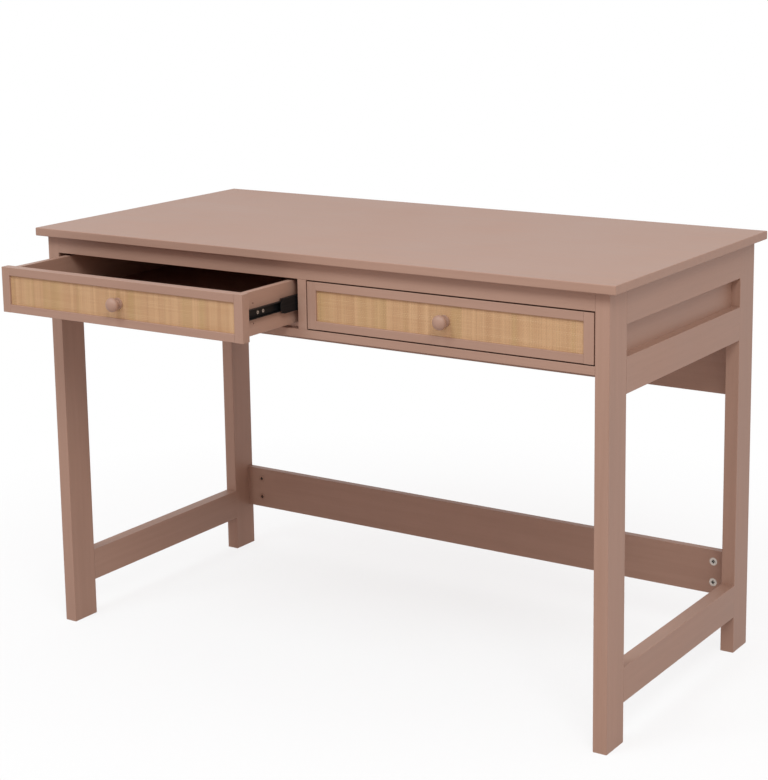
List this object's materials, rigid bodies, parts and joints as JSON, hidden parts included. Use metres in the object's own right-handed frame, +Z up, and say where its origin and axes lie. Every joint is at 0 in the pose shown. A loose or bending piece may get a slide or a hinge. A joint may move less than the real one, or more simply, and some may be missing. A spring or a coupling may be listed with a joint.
{
  "type": "writing desk",
  "caption": "Writing desk on leg frames, with a back board, a low back stretcher and rattan-fronted drawers that pull out on full-extension slides by round knobs.",
  "frame": {"origin": "on the floor, under the middle of the whole desk as stored, with the left drawer drawn out", "axes": "+X to the right as seen from the front, +Y from front to back, +Z up"},
  "size_m": [1.2, 0.758, 0.77],
  "materials": {
    "painted_wood": "satin",
    "rattan": "matte",
    "black_steel": "satin",
    "zinc_steel": "satin",
    "bare_wood": "matte"
  },
  "bodies": {
    "desk_frame": {"back_panel": "painted_wood", "back_stretcher": "painted_wood", "cabinet_slide_screws": "zinc_steel", "cam_bolts": "zinc_steel", "cam_locks": "zinc_steel", "center_partition": "painted_wood", "desk_top": "painted_wood", "frame_dowels": "bare_wood", "front_bottom_rail": "painted_wood", "front_top_rail": "painted_wood", "left_cabinet_slides": "black_steel", "leg_back_left": "painted_wood", "leg_back_right": "painted_wood", "leg_front_left": "painted_wood", "leg_front_right": "painted_wood", "right_cabinet_slides": "black_steel", "side_bottom_rail_left": "painted_wood", "side_bottom_rail_right": "painted_wood", "side_panel_left": "painted_wood", "side_panel_right": "painted_wood", "side_stretcher_left": "painted_wood", "side_stretcher_right": "painted_wood", "side_top_rail_left": "painted_wood", "side_top_rail_right": "painted_wood"},
    "left_drawer": {"left_drawer_back": "painted_wood", "left_drawer_bottom": "painted_wood", "left_drawer_dowels": "bare_wood", "left_drawer_frame_bottom": "painted_wood", "left_drawer_frame_left": "painted_wood", "left_drawer_frame_right": "painted_wood", "left_drawer_frame_top": "painted_wood", "left_drawer_front_board": "painted_wood", "left_drawer_knob": "painted_wood", "left_drawer_knob_screw": "zinc_steel", "left_drawer_rattan": "rattan", "left_drawer_side_left": "painted_wood", "left_drawer_side_right": "painted_wood", "left_drawer_slide_screws": "zinc_steel", "left_drawer_slides": "black_steel"},
    "left_middle_slides": {"left_middle_slides": "black_steel"},
    "left_outer_cages": {"left_outer_ball_cages": "black_steel"},
    "left_inner_cages": {"left_inner_ball_cages": "black_steel"},
    "right_drawer": {"right_drawer_back": "painted_wood", "right_drawer_bottom": "painted_wood", "right_drawer_dowels": "bare_wood", "right_drawer_frame_bottom": "painted_wood", "right_drawer_frame_left": "painted_wood", "right_drawer_frame_right": "painted_wood", "right_drawer_frame_top": "painted_wood", "right_drawer_front_board": "painted_wood", "right_drawer_knob": "painted_wood", "right_drawer_knob_screw": "zinc_steel", "right_drawer_rattan": "rattan", "right_drawer_side_left": "painted_wood", "right_drawer_side_right": "painted_wood", "right_drawer_slide_screws": "zinc_steel", "right_drawer_slides": "black_steel"},
    "right_middle_slides": {"right_middle_slides": "black_steel"},
    "right_outer_cages": {"right_outer_ball_cages": "black_steel"},
    "right_inner_cages": {"right_inner_ball_cages": "black_steel"}
  },
  "joints": [
    {"name": "left_drawer_slide", "type": "slide", "parent": "desk_frame", "child": "left_drawer", "axis": [0, -1, 0], "range_m": [-0.151, 0.349]},
    {"name": "left_middle_slides_travel", "type": "slide", "parent": "desk_frame", "child": "left_middle_slides", "axis": [0, -1, 0], "range_m": [-0.0755, 0.1745]},
    {"name": "left_outer_cages_travel", "type": "slide", "parent": "desk_frame", "child": "left_outer_cages", "axis": [0, -1, 0], "range_m": [-0.03775, 0.08725]},
    {"name": "left_inner_cages_travel", "type": "slide", "parent": "desk_frame", "child": "left_inner_cages", "axis": [0, -1, 0], "range_m": [-0.11325, 0.26175]},
    {"name": "right_drawer_slide", "type": "slide", "parent": "desk_frame", "child": "right_drawer", "axis": [0, -1, 0], "range_m": [0, 0.5]},
    {"name": "right_middle_slides_travel", "type": "slide", "parent": "desk_frame", "child": "right_middle_slides", "axis": [0, -1, 0], "range_m": [0, 0.25]},
    {"name": "right_outer_cages_travel", "type": "slide", "parent": "desk_frame", "child": "right_outer_cages", "axis": [0, -1, 0], "range_m": [0, 0.125]},
    {"name": "right_inner_cages_travel", "type": "slide", "parent": "desk_frame", "child": "right_inner_cages", "axis": [0, -1, 0], "range_m": [0, 0.375]}
  ],
  "couplings": [
    {"joint": "left_middle_slides_travel", "follows": "left_drawer_slide", "ratio": 0.5},
    {"joint": "left_outer_cages_travel", "follows": "left_drawer_slide", "ratio": 0.25},
    {"joint": "left_inner_cages_travel", "follows": "left_drawer_slide", "ratio": 0.75},
    {"joint": "right_middle_slides_travel", "follows": "right_drawer_slide", "ratio": 0.5},
    {"joint": "right_outer_cages_travel", "follows": "right_drawer_slide", "ratio": 0.25},
    {"joint": "right_inner_cages_travel", "follows": "right_drawer_slide", "ratio": 0.75}
  ]
}
